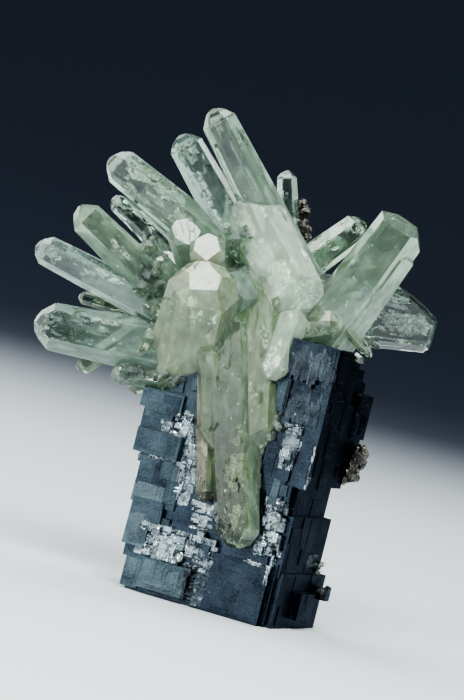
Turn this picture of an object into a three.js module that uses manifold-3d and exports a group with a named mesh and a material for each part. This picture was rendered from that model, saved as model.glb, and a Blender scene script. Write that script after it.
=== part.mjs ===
// Calcite crystals on galena, a hand-sized mineral specimen.
// Millimetres, +Z up. The galena's cube faces are square to the axes.
// The origin is the middle of its base.

import * as THREE from "three";
import { ConvexGeometry } from "three/addons/geometries/ConvexGeometry.js";
import { mergeVertices } from "three/addons/utils/BufferGeometryUtils.js";
import Module from "manifold-3d";

const wasm = await Module();
wasm.setup();

// The show side is seen from this far round from the front face and this far above the base, and the
// specimen leans over there. Crystals are laid out as seen: across to the right, up, and out to the viewer.
const degrees = THREE.MathUtils.degToRad;
const VIEW_TURN = degrees(22);
const VIEW_RISE = degrees(2);
const VIEW_LEAN = degrees(14);

// Gap left between one mineral and the next
const CONTACT_GAP = 0.3;

// Slopes of a calcite crystal's end faces, from its long axis: the flat rhomb on the tip, the steep faces
// round it and the narrow ones that bevel the shoulder
const RHOMB_SLOPE = degrees(27);
const STEEP_SLOPE = degrees(54);
const SHOULDER_SLOPE = degrees(74);
const TAPER = degrees(1.6);

// Where the end faces begin, from the long axis, as least and most of the half width
const STEEP_START = [0.31, 0.54];
const SHOULDER_START = 0.93;
const SHOULDER_DROP = [0.4, 0.7];

// How unevenly faces grow: prism faces as a share of their distance, rhomb faces as a share of the width
const SIDE_UNEVEN = 0.07;
const RHOMB_UNEVEN = 0.05;

// A parallel partner on a crystal's side, as shares of the crystal's own length, width and thickness
const PARTNER_LENGTH = [0.62, 0.87];
const PARTNER_WIDTH = [0.5, 0.7];
const PARTNER_THICKNESS = 0.8;
const PARTNER_OFFSET = 0.24;

// Corners nearer together than this are one, a corner this far past a face still lies on it, and three faces
// whose directions span less than this meet nowhere
const SAME_CORNER = 0.01;
const ON_FACE = 1e-4;
const NEARLY_PARALLEL = 1e-5;

// A repeatable stream of numbers from 0 to 1
function numbersFrom(seed) {
  let state = seed * 2654435761 + 12345;
  return () => {
    state = (Math.imul(state ^ (state >>> 15), 2246822519) + 3266489917) | 0;
    const mixed = Math.imul(state ^ (state >>> 13), 668265263);
    return ((mixed ^ (mixed >>> 16)) >>> 0) / 4294967296;
  };
}

function solidOf(geometry) {
  const bare = geometry.clone();
  bare.deleteAttribute("normal");
  bare.deleteAttribute("uv");
  const merged = mergeVertices(bare, ON_FACE / 10);
  return new wasm.Manifold(
    new wasm.Mesh({
      numProp: 3,
      vertProperties: merged.attributes.position.array,
      triVerts: new Uint32Array(merged.index.array),
    }),
  );
}

function geometryOf(solid) {
  const mesh = solid.getMesh();
  const places = new Float32Array(mesh.numVert * 3);
  for (let i = 0; i < mesh.numVert; i++) {
    const first = i * mesh.numProp;
    places.set(mesh.vertProperties.subarray(first, first + 3), i * 3);
  }
  const geometry = new THREE.BufferGeometry();
  geometry.setAttribute("position", new THREE.BufferAttribute(places, 3));
  geometry.setIndex(new THREE.BufferAttribute(mesh.triVerts, 1));
  geometry.computeVertexNormals();
  return geometry;
}

function joined(solids) {
  return wasm.Manifold.union(solids);
}

// A crystal face: its outward direction by azimuth and by angle from the long axis, and a point on it
function face(azimuth, fromAxis, point) {
  const normal = new THREE.Vector3(
    Math.cos(azimuth) * Math.sin(fromAxis),
    Math.sin(azimuth) * Math.sin(fromAxis),
    Math.cos(fromAxis),
  );
  return { normal, distance: normal.dot(point) };
}

// Where three faces meet, or null if two of them are nearly parallel
function cornerOf(a, b, c) {
  const bc = b.normal.clone().cross(c.normal);
  const volume = a.normal.dot(bc);
  if (Math.abs(volume) < NEARLY_PARALLEL) return null;
  const ca = c.normal.clone().cross(a.normal);
  const ab = a.normal.clone().cross(b.normal);
  return bc
    .multiplyScalar(a.distance)
    .addScaledVector(ca, b.distance)
    .addScaledVector(ab, c.distance)
    .divideScalar(volume);
}

// The closed body that lies behind every one of the faces
function bodyBehind(faces) {
  const corners = [];
  for (let i = 0; i < faces.length; i++)
    for (let j = i + 1; j < faces.length; j++)
      for (let k = j + 1; k < faces.length; k++) {
        const corner = cornerOf(faces[i], faces[j], faces[k]);
        if (!corner) continue;
        if (faces.some((f) => f.normal.dot(corner) > f.distance + ON_FACE)) continue;
        if (corners.some((c) => c.distanceTo(corner) < SAME_CORNER)) continue;
        corners.push(corner);
      }
  return new ConvexGeometry(corners);
}

function between([low, high], random) {
  return low + (high - low) * random();
}

// The faces that close one end of a crystal, at height, pointing along +Z
function endFaces(wide, thick, height, random) {
  const edgeAt = (azimuth) => 0.5 / Math.hypot(Math.cos(azimuth) / wide, Math.sin(azimuth) / thick);
  const pointAt = (azimuth, out, fall) =>
    new THREE.Vector3(Math.cos(azimuth) * out, Math.sin(azimuth) * out, height - fall);
  const faces = [];
  const spin = degrees(random() < 0.5 ? 90 : 270);
  for (let i = 0; i < 3; i++) {
    const azimuth = spin + degrees(120 * i);
    faces.push(face(azimuth, RHOMB_SLOPE, pointAt(azimuth, 0, random() * RHOMB_UNEVEN * wide)));
  }
  for (let i = 0; i < 6; i++) {
    const azimuth = degrees(30 + 60 * i);
    const out = edgeAt(azimuth) * between(STEEP_START, random);
    faces.push(face(azimuth, STEEP_SLOPE, pointAt(azimuth, out, Math.tan(RHOMB_SLOPE) * out)));
  }
  for (let i = 0; i < 3; i++) {
    const azimuth = degrees(120 * i + 30 * random());
    const out = edgeAt(azimuth);
    const fall = out * between(SHOULDER_DROP, random);
    faces.push(face(azimuth, SHOULDER_SLOPE, pointAt(azimuth, out * SHOULDER_START, fall)));
  }
  return faces;
}

// A six-sided crystal along +Z, flattened from wide to thick, with both ends faceted if bothEnds is set
function crystalGeometry({ length, wide, thick, bothEnds, random }) {
  const faces = [];
  for (let i = 0; i < 6; i++) {
    const azimuth = degrees(30 + 60 * i);
    const broad = i % 3 === 1;
    const size = broad ? thick / 2 : (wide / 2) * Math.cos(degrees(30));
    const out = size * between([1 - SIDE_UNEVEN, 1 + SIDE_UNEVEN], random);
    const middle = new THREE.Vector3(Math.cos(azimuth) * out, Math.sin(azimuth) * out, length / 2);
    faces.push(face(azimuth, degrees(90) - TAPER, middle));
  }
  faces.push(...endFaces(wide, thick, length, random));
  if (bothEnds) {
    for (const { normal, distance } of endFaces(wide, thick, length, random)) {
      const turned = new THREE.Vector3(normal.x, -normal.y, -normal.z);
      faces.push({ normal: turned, distance: distance - length * normal.z });
    }
  } else {
    faces.push(face(0, Math.PI, new THREE.Vector3()));
  }
  return bodyBehind(faces);
}

// The frame of the layout as seen, in the specimen's own frame
function viewToSpecimen() {
  const level = new THREE.Vector3(Math.cos(VIEW_TURN), Math.sin(VIEW_TURN), 0);
  const away = new THREE.Vector3(Math.sin(VIEW_TURN), -Math.cos(VIEW_TURN), 0);
  const out = away.clone().multiplyScalar(Math.cos(VIEW_RISE));
  out.z = Math.sin(VIEW_RISE);
  const plumb = out.clone().cross(level);
  const across = level.clone().applyAxisAngle(out, VIEW_LEAN);
  const up = plumb.clone().applyAxisAngle(out, VIEW_LEAN);
  return new THREE.Matrix4().makeBasis(across, up, out);
}
const VIEW = viewToSpecimen();

// Stands a crystal between root and tip, with its broad face turned to the viewer and then by turn degrees.
// One that points nearly at the viewer or away has its broad face upwards instead.
const NEARLY_AT_VIEWER = 0.9;

function placed(geometry, root, tip, turn) {
  const from = new THREE.Vector3(...root);
  const axis = new THREE.Vector3(...tip).sub(from).normalize();
  const viewer = new THREE.Vector3(0, 0, 1);
  if (Math.abs(axis.z) > NEARLY_AT_VIEWER) viewer.set(0, 1, 0);
  const broad = viewer.addScaledVector(axis, -viewer.dot(axis)).normalize();
  const side = broad.clone().cross(axis);
  const stand = new THREE.Matrix4().makeBasis(side, broad, axis).setPosition(from);
  const spin = new THREE.Matrix4().makeRotationZ(degrees(turn));
  return geometry.applyMatrix4(spin).applyMatrix4(stand).applyMatrix4(VIEW);
}

// Takes off what lies past a plane. It goes through a point as seen, and its outward direction is facing
// degrees round from the right and tilt degrees out towards the viewer.
function withoutPast(solid, { at, facing, tilt }) {
  const level = Math.cos(degrees(tilt));
  const outward = new THREE.Vector3(
    Math.cos(degrees(facing)) * level,
    Math.sin(degrees(facing)) * level,
    Math.sin(degrees(tilt)),
  );
  const distance = outward.dot(new THREE.Vector3(...at));
  const inward = outward.applyMatrix4(VIEW).negate();
  return solid.trimByPlane(inward.toArray(), -distance);
}

// One crystal, with lower parallel ones grown on its side, each of which leaves a ledge and a groove, and
// with the faces that a break or a neighbour has given it
function crystal({ tip, root, wide, thick, turn = 0, bothEnds = false, partners = 0, cuts = [] }, index) {
  const random = numbersFrom(index + 1);
  const length = new THREE.Vector3(...tip).distanceTo(new THREE.Vector3(...root));
  const main = crystalGeometry({ length, wide, thick, bothEnds, random });
  const solids = [solidOf(placed(main, root, tip, turn))];
  for (let i = 0; i < partners; i++) {
    const partner = crystalGeometry({
      length: length * between(PARTNER_LENGTH, random),
      wide: wide * between(PARTNER_WIDTH, random),
      thick: thick * PARTNER_THICKNESS,
      bothEnds: false,
      random,
    });
    const direction = degrees(360 * random());
    const aside = wide * PARTNER_OFFSET * Math.cos(direction);
    partner.translate(aside, thick * PARTNER_OFFSET * Math.sin(direction), 0);
    solids.push(solidOf(placed(partner, root, tip, turn)));
  }
  return cuts.reduce(withoutPast, joined(solids));
}

// The fan of prisms that the show side presents, from the lower left round to the lower right
const FAN = [
  { tip: [-37.3, 57.3, 5], root: [-8, 51.2, 3], wide: 10.4, thick: 6.8, turn: 8, partners: 1 },
  { tip: [-36.9, 72.6, 3], root: [-7, 57.0, 1], wide: 7.2, thick: 5.6, turn: -12 },
  { tip: [-28.6, 80.0, 5], root: [-6, 58.0, 1], wide: 7.8, thick: 6.0, turn: 14 },
  { tip: [-22.3, 90.4, -1], root: [7.6, 65.8, -2.4], wide: 8.8, thick: 6.6, turn: -16, partners: 1 },
  { tip: [-21.8, 82.4, -8], root: [-3, 64.2, -3], wide: 5.0, thick: 4.2, turn: 20 },
  { tip: [-8.2, 94.9, -1], root: [8.6, 64.8, -2], wide: 7.8, thick: 6.4, turn: 10 },
  { tip: [-1.5, 99.7, 5], root: [16.4, 64.8, 1.5], wide: 8.4, thick: 7.6, turn: -14, partners: 1 },
  {
    tip: [19.0, 53.9, 17.5],
    root: [4.2, 81.6, 1.5],
    wide: 12.6,
    thick: 9.0,
    turn: 12,
    bothEnds: true,
    cuts: [
      { at: [17.4, 58.3, 11], facing: -41, tilt: 15 },
      { at: [17.4, 58.3, 11], facing: -88, tilt: 15 },
      { at: [13.6, 63.4, 17.0], facing: -88, tilt: 60 },
      { at: [16.2, 65.4, 15.9], facing: -48, tilt: 58 },
    ],
  },
  { tip: [9.6, 45.6, 18.2], root: [15.2, 60.2, 11.6], wide: 6.6, thick: 5.0, turn: 18, bothEnds: true },
  { tip: [29.4, 77.4, -4], root: [6, 60.6, -1], wide: 6.8, thick: 5.4, turn: 10, partners: 1 },
  {
    tip: [41.5, 82.6, 2],
    root: [14.6, 46.2, -4],
    wide: 12.2,
    thick: 9.0,
    turn: -14,
    partners: 1,
    cuts: [
      { at: [35.7, 76.6, 2], facing: 60, tilt: 20 },
      { at: [39.4, 74.2, 2], facing: 8, tilt: 6 },
    ],
  },
  {
    tip: [47.5, 56.4, -8],
    root: [14, 60.9, -5],
    wide: 13.2,
    thick: 7.6,
    turn: 10,
    partners: 1,
    cuts: [
      { at: [40.1, 61.1, -8], facing: 46, tilt: 12 },
      { at: [43.4, 56.0, -8], facing: -11, tilt: -8 },
      { at: [42.3, 52.4, -8], facing: -21, tilt: 15 },
      { at: [36.8, 51.2, -8], facing: -98, tilt: 8 },
    ],
  },
];

// Crystals that point out at the viewer from the heart of the spray, some with a flat face at the viewer
const FACING = [
  {
    tip: [-1.8, 68.0, 21],
    root: [-7, 49.0, 2],
    wide: 15.0,
    thick: 12.0,
    turn: 6,
    cuts: [{ at: [-2.4, 66.4, 20.4], facing: 80, tilt: 68 }],
  },
  {
    tip: [-2.6, 73.6, 16.5],
    root: [-1, 60.0, 0],
    wide: 8.6,
    thick: 7.6,
    turn: 24,
    cuts: [{ at: [-2.8, 72.6, 15.2], facing: 95, tilt: 70 }],
  },
  {
    tip: [-8.0, 76.8, 12.6],
    root: [-3, 63.0, -2],
    wide: 7.6,
    thick: 6.6,
    turn: -14,
    cuts: [{ at: [-7.6, 76.0, 11.4], facing: 62, tilt: 66 }],
  },
  { tip: [-15.2, 72.8, 10], root: [-8, 63.0, -1], wide: 4.6, thick: 4.2, turn: 8 },
  { tip: [-12.4, 69.8, 10], root: [-7, 61.0, 0], wide: 4.4, thick: 3.8, turn: 30 },
  { tip: [2.4, 76.6, 12], root: [2, 65.0, -1], wide: 5.4, thick: 4.8, turn: 12 },
  { tip: [4.8, 66.4, 17], root: [2, 56.0, 2], wide: 8.6, thick: 6.4, turn: -20 },
  { tip: [-15.0, 60.4, 9.5], root: [-9, 57.0, 0], wide: 3.0, thick: 2.6 },
];

// Crystals that lie down the galena's front face
const APRON = [
  { tip: [3.6, 12.4, 18.8], root: [2.4, 56.0, 9.6], wide: 10.6, thick: 8.2, turn: 20, partners: 1 },
  {
    tip: [3.4, 26.6, 14.4],
    root: [5.1, 66.0, 7.0],
    wide: 19.4,
    thick: 9.4,
    turn: 20,
    cuts: [
      { at: [10.6, 36.0, 16], facing: -15, tilt: 12 },
      { at: [-5.2, 31.4, 14], facing: -158, tilt: 16 },
      { at: [2.4, 28.0, 14.4], facing: -88, tilt: 62 },
    ],
  },
  { tip: [-3.0, 21.6, 13.8], root: [-2.4, 46.0, 9.0], wide: 5.0, thick: 4.8, turn: 20 },
  { tip: [-2.0, 54.4, 12.4], root: [-0.4, 36.0, 11.4], wide: 7.0, thick: 6.2, turn: -20, bothEnds: true },
  { tip: [12.9, 40.4, 16.2], root: [9.0, 33.4, 16.6], wide: 2.8, thick: 2.6, turn: 15, bothEnds: true },
];

// Smaller crystals round the foot of the spray and behind it, as far as they show from the front
const EDGE = [
  { tip: [-21.8, 47.2, 5], root: [-2, 45.2, 3], wide: 5.2, thick: 4.6, turn: 14, partners: 1 },
  { tip: [-18.4, 43.9, 0], root: [-8, 46.0, 1], wide: 3.2, thick: 3.0 },
  { tip: [-28.6, 47.6, -1], root: [-16, 56.0, 1], wide: 4.2, thick: 3.6, turn: 25 },
  { tip: [-28.4, 62.4, -2], root: [-14, 58.4, 0], wide: 3.2, thick: 3.0, turn: 10 },
  { tip: [13.4, 88.0, -7], root: [14, 66.0, -3], wide: 4.8, thick: 4.2 },
  { tip: [-15.8, 50.6, 12.4], root: [-13.4, 56.2, 5], wide: 2.3, thick: 2.1 },
  { tip: [24.6, 56.6, 4], root: [8, 55.4, 3], wide: 6.4, thick: 5.6, turn: 8 },
  { tip: [29.4, 51.0, 3], root: [25, 56.0, 1], wide: 2.4, thick: 2.2, turn: 30 },
];

// The far side of the spray, which the show side hides
const FAR = [
  { tip: [-14.0, 83.4, -22], root: [-3, 62.0, -2], wide: 7.6, thick: 6.0, turn: 10 },
  { tip: [6.0, 89.0, -21], root: [3, 64.0, -3], wide: 8.6, thick: 6.6, turn: -12, partners: 1 },
  { tip: [24.6, 74.0, -22], root: [5, 60.0, -3], wide: 7.6, thick: 6.0, turn: 16 },
  { tip: [-24.0, 66.0, -19], root: [-4, 57.0, -2], wide: 6.4, thick: 5.4, turn: -8 },
  { tip: [-20.6, 53.0, -21], root: [-2, 54.0, -3], wide: 6.6, thick: 5.4, turn: 12 },
  { tip: [-1.6, 78.0, -30], root: [-1, 60.0, -3], wide: 8.6, thick: 7.0, turn: 18, partners: 1 },
  { tip: [31.0, 63.4, -21], root: [8, 56.0, -4], wide: 6.6, thick: 5.4, turn: -10 },
  { tip: [10.6, 66.6, -31], root: [3, 57.0, -4], wide: 7.4, thick: 6.2, turn: 6 },
  { tip: [-9.0, 63.0, -30], root: [-2, 55.0, -4], wide: 6.8, thick: 5.8, turn: -18 },
  { tip: [7.0, 36.0, -17.4], root: [0, 58.0, -11.0], wide: 8.0, thick: 6.4, turn: 8 },
];

// The massive calcite that the crystals spring from, with flat faces spread evenly round it
function heart({ middle, reach, count, seed }) {
  const random = numbersFrom(seed);
  const faces = [];
  for (let i = 0; i < count; i++) {
    const height = 1 - (2 * i + 1) / count;
    const ring = Math.sqrt(1 - height * height);
    const turn = i * GOLDEN_TURN + HEART_UNEVEN_TURN * random();
    const normal = new THREE.Vector3(ring * Math.cos(turn), ring * Math.sin(turn), height);
    const away = normal.clone().multiply(new THREE.Vector3(...reach)).length();
    const distance = normal.dot(new THREE.Vector3(...middle)) + away * between(HEART_UNEVEN, random);
    faces.push({ normal, distance });
  }
  return solidOf(bodyBehind(faces).applyMatrix4(VIEW));
}

const GOLDEN_TURN = Math.PI * (3 - Math.sqrt(5));
const HEART_UNEVEN_TURN = degrees(30);
const HEART_UNEVEN = [0.9, 1.1];
const HEARTS = [
  { middle: [-1.5, 58.5, 0], reach: [13, 11.5, 10], count: 22, seed: 3 },
  { middle: [6.5, 60.5, 2], reach: [12, 6.5, 8.5], count: 18, seed: 5 },
  { middle: [3.5, 51.5, 5.5], reach: [8.5, 8.5, 8.5], count: 18, seed: 8 },
];

// Short crystals crowded round the foot of the spray on its far side, along an arc
const DRUSE = {
  count: 16,
  from: degrees(18),
  sweep: degrees(144),
  stray: 0.6,
  middle: 1,
  reach: [11, 15],
  height: [50, 70],
  behind: 2,
  size: [2.6, 4.6],
  flatness: 1.15,
  rootShare: 0.35,
  rootHeight: 57,
  seed: 77,
};

function druse() {
  const random = numbersFrom(DRUSE.seed);
  const crowd = [];
  for (let i = 0; i < DRUSE.count; i++) {
    const turn = DRUSE.from + (DRUSE.sweep * (i + DRUSE.stray * random())) / DRUSE.count;
    const reach = between(DRUSE.reach, random);
    const height = between(DRUSE.height, random);
    const tip = [DRUSE.middle - Math.cos(turn) * reach, height, -DRUSE.behind - Math.sin(turn) * reach];
    const root = [tip[0] * DRUSE.rootShare, DRUSE.rootHeight, tip[2] * DRUSE.rootShare];
    const size = between(DRUSE.size, random);
    crowd.push({ tip, root, wide: size * DRUSE.flatness, thick: size, turn: 60 * random() });
  }
  return crowd;
}

function calciteSolid() {
  const crystals = [...FAN, ...FACING, ...APRON, ...EDGE, ...FAR, ...druse()].map(crystal);
  return joined([...crystals, ...HEARTS.map(heart)]);
}

// Galena grows and breaks in cubes, so its block is a pile of square slabs: [x, x, y, y, z, z] of each.
// The body comes first, and then the ledges of each side.
const BODY = [
  [-15.6, 13.4, -13.2, 9.2, 0, 30],
  [-15.0, 7.6, 4.0, 12.4, 0, 34],
  [-16.6, 16.4, -13.0, 6.2, 29, 46.5],
  [-15.4, 15.8, 0, 11.6, 35, 46],
  [-4.4, 16.2, -12.9, 6.0, 44, 50.8],
  [-4.4, 16.2, -12.8, 0.4, 50, 55.6],
  [6.0, 16.4, -6.0, 3.4, 44, 53.2],
  [-20.0, -13.0, -12.2, 9.6, 25, 39.2],
];
const FRONT_LEDGES = [
  [-21.7, -12.8, -13.9, -2.0, 35.9, 39.6],
  [-20.8, -15.0, -13.3, 3.0, 31.0, 36.4],
  [-20.3, -10.8, -14.8, 2.4, 27.0, 31.8],
  [-18.7, -9.2, -13.7, 1.0, 18.0, 27.4],
  [-18.0, -11.4, -14.3, -3.0, 12.4, 18.2],
  [-17.5, -9.4, -13.9, 4.0, 6.4, 15.4],
  [-16.6, -12.6, -13.6, 6.0, 0.8, 8.6],
  [-12.9, -2.6, -15.0, -9.0, 1.1, 7.2],
  [-11.0, -5.4, -14.4, -9.0, 7.0, 12.6],
  [-3.7, 0.6, -14.9, -9.0, 10.2, 14.0],
  [-3.7, -0.4, -14.3, -9.0, 8.3, 10.3],
  [-0.6, 13.7, -14.2, -8.0, 0.3, 11.8],
  [2.8, 12.6, -13.8, -8.0, 10.0, 15.4],
  [7.6, 12.8, -14.3, -8.0, 14.0, 22.8],
  [9.0, 12.4, -13.8, -8.0, 22.0, 29.4],
  [6.6, 9.9, -13.8, -8.0, 29.2, 41.0],
  [10.1, 12.9, -14.5, -8.0, 29.0, 39.4],
  [13.1, 15.2, -13.9, -8.0, 28.4, 40.2],
  [15.1, 17.0, -14.1, -4.0, 28.2, 55.8],
  [6.7, 17.0, -14.2, -6.0, 49.6, 56.4],
  [5.2, 8.4, -13.6, -6.0, 40.4, 52.0],
  [-5.4, 3.0, -13.8, -6.0, 45.0, 54.0],
];
const RIGHT_LEDGES = [
  [13.0, 14.5, -12.4, 11.6, 0.4, 12.6],
  [12.4, 15.6, -11.2, 12.6, 0, 11.0],
  [12.4, 15.0, -11.8, 9.4, 10.0, 22.4],
  [12.4, 14.2, -10.6, 6.8, 20.0, 30.2],
  [14.4, 17.0, -6.0, -2.0, 31.0, 54.0],
  [14.4, 16.9, -10.4, 9.0, 33.6, 46.0],
  [14.4, 17.4, 3.0, 9.6, 39.4, 48.4],
  [14.4, 16.6, 2.0, 7.4, 31.0, 38.6],
  [15.6, 17.9, 9.0, 11.4, 6.2, 8.6],
  [15.0, 17.1, -2.0, 5.0, 2.0, 7.4],
];
const BACK_LEDGES = [
  [-14.8, -4.0, 9.0, 13.6, 0.6, 14.4],
  [-6.0, 7.6, 9.0, 14.2, 2.4, 22.8],
  [3.6, 12.2, 7.0, 13.7, 0.2, 17.4],
  [-16.0, -7.4, 9.0, 14.3, 24.8, 38.6],
  [-9.0, 2.4, 9.0, 13.9, 20.4, 33.0],
  [0.6, 9.8, 8.0, 14.8, 31.4, 44.6],
  [9.4, 14.0, 4.0, 12.4, 40.4, 50.0],
  [-3.6, 4.6, 3.0, 10.6, 44.0, 53.4],
  [3.8, 10.4, 5.0, 10.8, 43.0, 51.6],
];
const LEFT_LEDGES = [
  [-17.0, -12.0, -9.0, 4.6, 2.2, 17.2],
  [-16.6, -12.0, 1.6, 11.2, 0.8, 12.8],
  [-18.2, -12.0, -7.0, 6.4, 15.0, 24.6],
  [-17.9, -12.0, 4.0, 12.0, 12.0, 33.6],
  [-21.2, -13.0, -8.4, 1.8, 25.0, 33.8],
  [-20.8, -13.0, 0.6, 8.4, 29.4, 38.4],
  [-17.2, -8.0, -9.6, 9.8, 38.0, 43.0],
];

function slab([x0, x1, y0, y1, z0, z1], grown = 0) {
  const box = new THREE.BoxGeometry(x1 - x0 + 2 * grown, y1 - y0 + 2 * grown, z1 - z0 + 2 * grown);
  return box.translate((x0 + x1) / 2, (y0 + y1) / 2, (z0 + z1) / 2);
}

// Thin cube steps scattered over an upright side of the block. normal is the axis that it faces, sign which
// way along it, plane its distance, across and up the stretch that they cover, and size their width.
const STEP_HEIGHT = 0.95;
const STEP_ROOT = 3;
const STEP_STRETCH = 1.2;
const STEPPED_SIDES = [
  { normal: "y", sign: -1, plane: 13.2, across: [-15, 13], up: [1, 28], count: 16, size: [1.2, 4], seed: 21 },
  { normal: "y", sign: -1, plane: 13.1, across: [-16, 15], up: [30, 46], count: 8, size: [1.2, 4], seed: 22 },
  { normal: "x", sign: 1, plane: 13.8, across: [-11, 7], up: [1, 28], count: 9, size: [1.4, 5], seed: 23 },
  { normal: "x", sign: 1, plane: 16.2, across: [-12, 4], up: [31, 50], count: 8, size: [1.4, 5], seed: 24 },
  { normal: "y", sign: 1, plane: 13.0, across: [-15, 8], up: [1, 42], count: 18, size: [1.6, 6], seed: 25 },
  { normal: "x", sign: -1, plane: 16.6, across: [-10, 10], up: [2, 36], count: 16, size: [1.6, 5], seed: 26 },
];

function stepsOver({ normal, sign, plane, across, up, count, size, seed }) {
  const random = numbersFrom(seed);
  const slabs = [];
  for (let i = 0; i < count; i++) {
    const wide = between(size, random);
    const tall = between(size, random) * STEP_STRETCH;
    const left = between([across[0], across[1] - wide], random);
    const foot = between([up[0], up[1] - tall], random);
    const ends = [sign * (plane - STEP_ROOT), sign * (plane + STEP_HEIGHT * random())];
    ends.sort((a, b) => a - b);
    const flat = [left, left + wide];
    slabs.push([...(normal === "x" ? [...ends, ...flat] : [...flat, ...ends]), foot, foot + tall]);
  }
  return slabs;
}

const SLABS = [
  ...BODY,
  ...FRONT_LEDGES,
  ...RIGHT_LEDGES,
  ...BACK_LEDGES,
  ...LEFT_LEDGES,
  ...STEPPED_SIDES.flatMap(stepsOver),
];

function galenaSolid(grown = 0) {
  return joined(SLABS.map((sizes) => solidOf(slab(sizes, grown))));
}

// A knot of small bright sulphide crystals: cubes and octahedra grown through each other about a line
const CUBE_SIDE = 1.3;
const SIDE_KNOT = {
  from: [16.7, 6.4, 32.6],
  to: [17.9, 9.6, 39.2],
  count: 16,
  size: [0.95, 1.9],
  spread: 3.0,
  seed: 31,
};
const TOP_KNOT = {
  from: new THREE.Vector3(16.4, 73.2, -6.0).applyMatrix4(VIEW).toArray(),
  to: new THREE.Vector3(15.9, 80.6, -7.0).applyMatrix4(VIEW).toArray(),
  count: 18,
  size: [0.8, 1.6],
  spread: 2.6,
  seed: 32,
};

function knot({ from, to, count, size, spread, seed }, grown = 0) {
  const random = numbersFrom(seed);
  const start = new THREE.Vector3(...from);
  const end = new THREE.Vector3(...to);
  const solids = [];
  for (let i = 0; i < count; i++) {
    const reach = between(size, random) + grown;
    const side = CUBE_SIDE * reach;
    const shape = i % 2 ? new THREE.OctahedronGeometry(reach) : new THREE.BoxGeometry(side, side, side);
    shape.rotateX(random() * Math.PI).rotateY(random() * Math.PI);
    const place = start.clone().lerp(end, (i + 0.5) / count);
    place.add(new THREE.Vector3(random() - 0.5, random() - 0.5, random() - 0.5).multiplyScalar(spread));
    solids.push(solidOf(shape.translate(...place.toArray())));
  }
  return joined(solids);
}

const calciteMaterial = new THREE.MeshStandardMaterial({
  color: 0xc9d6bd,
  roughness: 0.12,
  metalness: 0,
  transparent: true,
  opacity: 0.6,
});
const galenaMaterial = new THREE.MeshStandardMaterial({ color: 0x59626e, roughness: 0.38, metalness: 1 });
const sulphideMaterial = new THREE.MeshStandardMaterial({ color: 0x6e6656, roughness: 0.35, metalness: 1 });

// The main body of a solid that a cut has left with loose slivers
function largest(solid) {
  return solid.decompose().reduce((a, b) => (b.volume() > a.volume() ? b : a));
}

function named(name, solid, material) {
  const mesh = new THREE.Mesh(geometryOf(largest(solid)), material);
  mesh.name = name;
  return mesh;
}

const galenaWithGap = galenaSolid(CONTACT_GAP);
const calcite = calciteSolid()
  .subtract(galenaWithGap)
  .subtract(knot(TOP_KNOT, CONTACT_GAP))
  .subtract(knot(SIDE_KNOT, CONTACT_GAP));

const specimen = new THREE.Group();
specimen.add(named("galena_block", galenaSolid(), galenaMaterial));
specimen.add(named("calcite_spray", calcite, calciteMaterial));
specimen.add(named("sulphide_knot_side", knot(SIDE_KNOT).subtract(galenaWithGap), sulphideMaterial));
specimen.add(named("sulphide_knot_top", knot(TOP_KNOT), sulphideMaterial));

export default specimen;
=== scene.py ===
"""The looks of a calcite on galena specimen: clear to milky prisms on a stepped lead-grey block."""
import math
import random
from collections import namedtuple

import bpy
import numpy as np
from mathutils import Euler, Matrix, Vector, noise
from mathutils.bvhtree import BVHTree


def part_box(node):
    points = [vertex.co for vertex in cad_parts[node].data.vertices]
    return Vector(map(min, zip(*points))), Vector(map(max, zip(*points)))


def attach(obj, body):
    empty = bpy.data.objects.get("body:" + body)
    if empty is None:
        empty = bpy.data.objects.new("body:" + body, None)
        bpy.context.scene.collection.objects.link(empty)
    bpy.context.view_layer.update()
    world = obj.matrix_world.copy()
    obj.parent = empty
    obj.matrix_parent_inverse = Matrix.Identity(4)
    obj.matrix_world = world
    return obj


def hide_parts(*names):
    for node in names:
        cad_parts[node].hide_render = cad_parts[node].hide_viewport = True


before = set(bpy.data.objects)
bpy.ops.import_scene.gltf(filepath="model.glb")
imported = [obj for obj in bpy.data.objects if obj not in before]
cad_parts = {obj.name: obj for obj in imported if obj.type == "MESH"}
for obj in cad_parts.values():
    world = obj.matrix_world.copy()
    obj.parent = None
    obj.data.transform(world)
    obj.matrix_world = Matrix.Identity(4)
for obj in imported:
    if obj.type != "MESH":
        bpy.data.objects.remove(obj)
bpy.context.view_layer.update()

MM = 0.001

# The show side: the block is seen 22 degrees round from its front face and 2 degrees from above, and the
# picture is rolled by 14 degrees. across, up and out are the directions of what is seen.
VIEW_TURN = math.radians(22)
VIEW_RISE = math.radians(2)
VIEW_ROLL = math.radians(14)


def view_axes():
    level = Vector((math.cos(VIEW_TURN), math.sin(VIEW_TURN), 0))
    away = Vector((math.sin(VIEW_TURN), -math.cos(VIEW_TURN), 0))
    out = away * math.cos(VIEW_RISE) + Vector((0, 0, math.sin(VIEW_RISE)))
    plumb = out.cross(level)
    across = level * math.cos(VIEW_ROLL) + plumb * math.sin(VIEW_ROLL)
    up = plumb * math.cos(VIEW_ROLL) - level * math.sin(VIEW_ROLL)
    return across, up, out


ACROSS, UP, OUT = view_axes()


def way(across, up, out):
    """A direction given as seen from the show side."""
    return ACROSS * across + UP * up + OUT * out


def seen(across, up, out):
    """A point given in millimetres as seen from the show side, from the middle of the block's foot."""
    return way(across, up, out) * MM


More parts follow.
